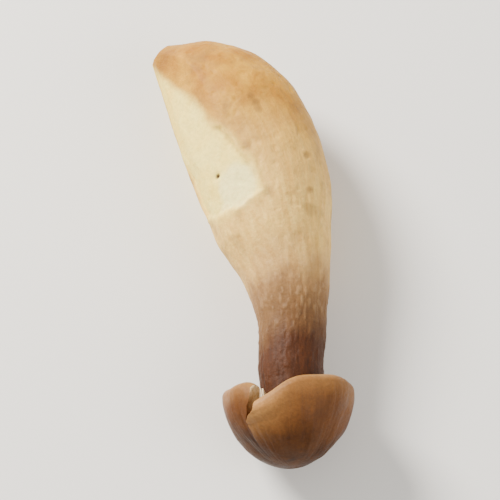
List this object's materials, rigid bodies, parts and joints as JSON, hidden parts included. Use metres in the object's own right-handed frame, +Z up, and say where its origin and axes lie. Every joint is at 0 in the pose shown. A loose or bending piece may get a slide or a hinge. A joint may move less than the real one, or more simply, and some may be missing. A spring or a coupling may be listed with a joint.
{
  "type": "termite mushroom",
  "caption": "Whole fresh mushroom on its side: small brown bell cap with a split margin, crowded gills, brown neck, swollen tan stem and knife-trimmed pale foot.",
  "frame": {"origin": "on the surface the mushroom lies on, under the middle of its bounding box", "axes": "+Z up, +Y along the mushroom towards its trimmed foot, -Y towards the cap's crown, +X to the right seen from the cap's end"},
  "size_m": [0.0392, 0.0866, 0.0251],
  "materials": {
    "stem": "matte",
    "cap": "satin",
    "gills": "matte"
  },
  "bodies": {
    "root": {"stem": "stem", "cap": "cap", "gills": "gills"}
  },
  "joints": []
}
